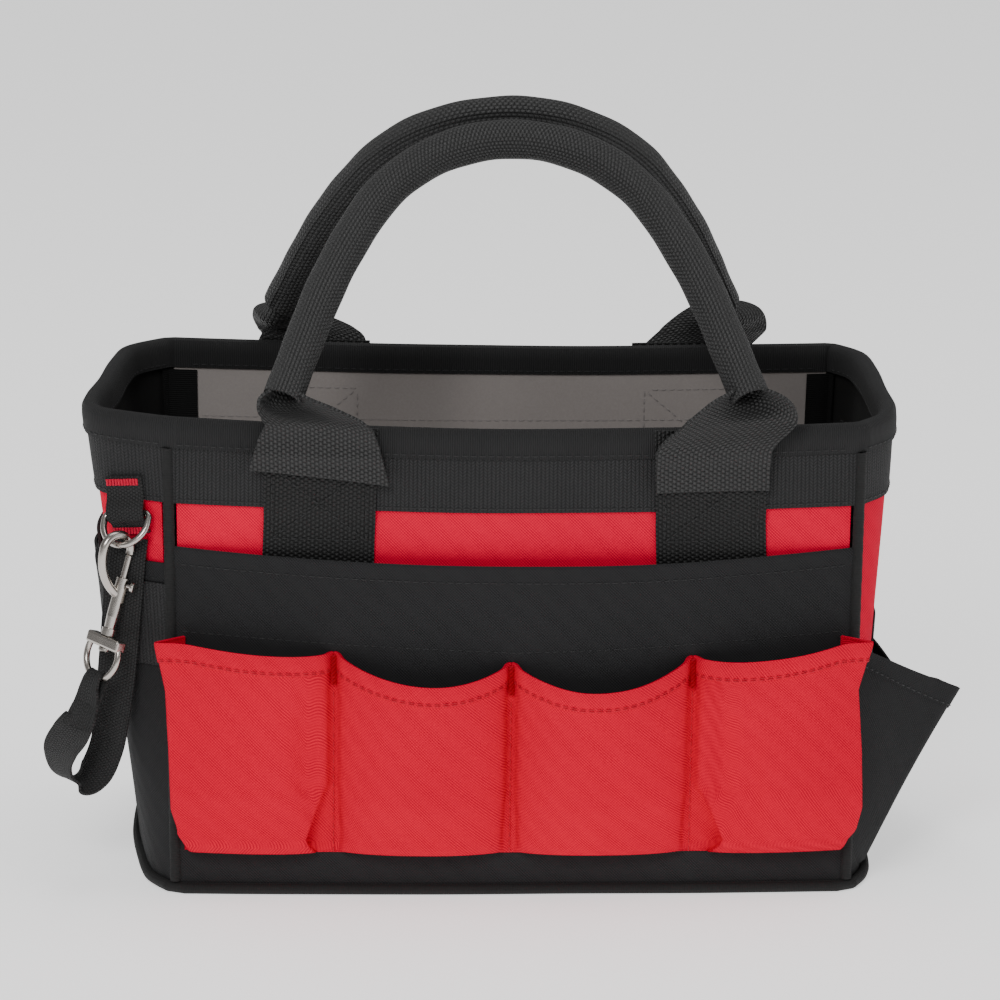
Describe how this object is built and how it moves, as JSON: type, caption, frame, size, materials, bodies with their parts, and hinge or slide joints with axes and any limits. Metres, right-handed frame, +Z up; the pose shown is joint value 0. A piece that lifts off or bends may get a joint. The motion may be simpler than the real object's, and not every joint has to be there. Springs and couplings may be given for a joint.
{
  "type": "garden tool bag",
  "caption": "Open-top garden tool bag in red and black fabric with webbing handles, outer pockets and a snap-hook tether.",
  "frame": {"origin": "middle of the base, on the surface that the bag stands on", "axes": "+X to the right seen from the pocket side, -Y to the front, +Z up"},
  "size_m": [0.4219, 0.2059, 0.3495],
  "materials": {
    "red_fabric": "matt",
    "pocket_red": "matt",
    "black_fabric": "matt",
    "grey_lining": "matt",
    "black_lining": "matt",
    "stiffener_sheet": "matt",
    "ribbed_webbing": "matt",
    "black_tape": "matt",
    "piping_cord": "matt",
    "black_webbing": "matt",
    "foam_core": "matt",
    "red_thread": "satin",
    "nickel": "polished",
    "spring_steel": "satin"
  },
  "bodies": {
    "bag": {"back_left_strap": "black_webbing", "back_lining": "grey_lining", "back_panel": "red_fabric", "back_right_strap": "black_webbing", "back_slip_pocket": "black_fabric", "back_stiffener": "stiffener_sheet", "base_board": "stiffener_sheet", "base_lining": "grey_lining", "base_panel": "black_fabric", "base_piping": "piping_cord", "corner_piping_back_left": "piping_cord", "corner_piping_back_right": "piping_cord", "corner_piping_front_left": "piping_cord", "corner_piping_front_right": "piping_cord", "corner_seam_tapes": "black_tape", "front_left_strap": "black_webbing", "front_lining": "grey_lining", "front_panel": "red_fabric", "front_right_strap": "black_webbing", "front_slip_pocket": "black_fabric", "front_stiffener": "stiffener_sheet", "left_end_lining": "black_lining", "left_end_panel": "red_fabric", "left_end_pocket": "black_fabric", "left_loop_webbing": "ribbed_webbing", "pocket_bartacks": "red_thread", "right_end_lining": "black_lining", "right_end_panel": "red_fabric", "right_end_pocket": "black_fabric", "rim_binding": "black_tape", "tether_anchor_webbing": "black_webbing", "tether_bartacks": "red_thread", "tool_pocket_panel": "pocket_red", "top_band_back": "ribbed_webbing", "top_band_front": "ribbed_webbing", "top_band_left": "ribbed_webbing", "top_band_right": "ribbed_webbing"},
    "front_handle": {"front_handle_grip": "black_webbing", "front_handle_core": "foam_core"},
    "back_handle": {"back_handle_grip": "black_webbing", "back_handle_core": "foam_core"},
    "ring": {"d_ring": "nickel"},
    "tether": {"tether_strap": "black_webbing", "swivel_eye": "nickel"},
    "snap_hook": {"hook_body": "nickel", "bolt_spring": "spring_steel"},
    "spring_bolt": {"bolt": "nickel", "thumb_stud": "nickel"}
  },
  "joints": [
    {"name": "front_handle_fold", "type": "hinge", "parent": "bag", "child": "front_handle", "pos_m": [0, -0.09403, 0.221], "axis": [1, 0, 0], "range_deg": [0, 180]},
    {"name": "back_handle_fold", "type": "hinge", "parent": "bag", "child": "back_handle", "pos_m": [0, 0.07732, 0.221], "axis": [-1, 0, 0], "range_deg": [0, 180]},
    {"name": "tether_swing", "type": "hinge", "parent": "bag", "child": "tether", "pos_m": [-0.17386, -0.07029, 0.174], "axis": [-0.8752, 0.4633, -0.1392], "range_deg": [0, 60]},
    {"name": "d_ring_swing", "type": "hinge", "parent": "bag", "child": "ring", "pos_m": [-0.17386, -0.07029, 0.174], "axis": [-0.8752, 0.4633, -0.1392], "range_deg": [0, 60]},
    {"name": "hook_swivel", "type": "hinge", "parent": "tether", "child": "snap_hook", "pos_m": [-0.18378, -0.0813, 0.11698], "axis": [0.2588, 0.1344, 0.9565], "range_deg": [-12, 12]},
    {"name": "bolt_slide", "type": "slide", "parent": "snap_hook", "child": "spring_bolt", "axis": [-0.2588, -0.1344, -0.9565], "range_m": [0, 0.008], "stiffness_N_per_m": 200, "springref_m": -0.002, "deforming": ["bolt_spring"]}
  ],
  "couplings": [
    {"joint": "d_ring_swing", "follows": "tether_swing", "ratio": 1}
  ]
}
